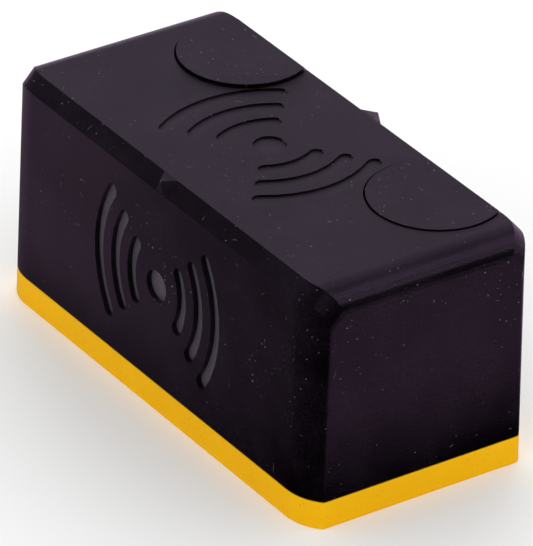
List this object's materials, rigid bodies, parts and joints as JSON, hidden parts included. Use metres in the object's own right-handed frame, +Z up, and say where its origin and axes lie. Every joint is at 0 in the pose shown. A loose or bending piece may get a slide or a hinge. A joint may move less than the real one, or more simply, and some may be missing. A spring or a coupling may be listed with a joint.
{
  "type": "circuit breaker finder",
  "caption": "Receiver block for finding a circuit breaker: black chamfered case with recessed wave symbols, yellow base with a sliding battery door, and round push buttons on one top edge.",
  "frame": {"origin": "the middle of the flat base, on the surface the block stands on", "axes": "+Z up; +X along the case, its longest side; +Y across the case towards the long edge with the buttons; the battery door slides out towards -X"},
  "size_m": [0.0766, 0.0372, 0.0368],
  "materials": {
    "black_housing": "black moulded plastic with a fine spark-eroded grain",
    "black_button": "black moulded plastic with a fine spark-eroded grain",
    "yellow_base": "yellow moulded plastic, satin",
    "yellow_door": "yellow moulded plastic, satin",
    "dark_plastic": "satin black",
    "grey_plastic": "satin grey",
    "board": "green solder mask on glass-epoxy laminate",
    "chip_plastic": "black moulded epoxy",
    "sounder_plastic": "satin black",
    "ferrite": "dark grey sintered ferrite",
    "winding": "enamelled copper wire",
    "steel": "zinc-plated steel",
    "contact_steel": "nickel-plated spring steel",
    "capacitor_can": "bare aluminium can",
    "cell": "printed foil wrap without lettering",
    "red_lead": "red insulation",
    "black_lead": "black insulation"
  },
  "bodies": {
    "body": {"upper_housing": "black_housing", "base_plate": "yellow_base", "left_switch_body": "dark_plastic", "right_switch_body": "dark_plastic", "left_case_screw": "steel", "right_case_screw": "steel", "circuit_board": "board", "board_screw_1": "steel", "board_screw_2": "steel", "board_screw_3": "steel", "board_screw_4": "steel", "top_coil_core": "ferrite", "top_coil_bobbin": "dark_plastic", "top_coil_winding": "winding", "side_coil_core": "ferrite", "side_coil_bobbin": "dark_plastic", "side_coil_winding": "winding", "microcontroller": "chip_plastic", "signal_amplifier": "chip_plastic", "sounder": "sounder_plastic", "smoothing_capacitor": "capacitor_can", "rear_cell": "cell", "front_cell": "cell", "positive_contact": "contact_steel", "negative_contact": "contact_steel", "bridge_contact": "contact_steel", "positive_lead": "red_lead", "negative_lead": "black_lead"},
    "left_button": {"left_button_cap": "black_button", "left_switch_plunger": "grey_plastic"},
    "right_button": {"right_button_cap": "black_button", "right_switch_plunger": "grey_plastic"},
    "door": {"battery_door": "yellow_door"}
  },
  "joints": [
    {"name": "left_button_press", "type": "slide", "parent": "body", "child": "left_button", "axis": [0, 0, 1], "range_m": [-0.0006, 0], "stiffness_N_per_m": 2500},
    {"name": "right_button_press", "type": "slide", "parent": "body", "child": "right_button", "axis": [0, 0, 1], "range_m": [-0.0006, 0], "stiffness_N_per_m": 2500},
    {"name": "battery_door_slide", "type": "slide", "parent": "body", "child": "door", "axis": [1, 0, 0], "range_m": [-0.055, 0]}
  ]
}
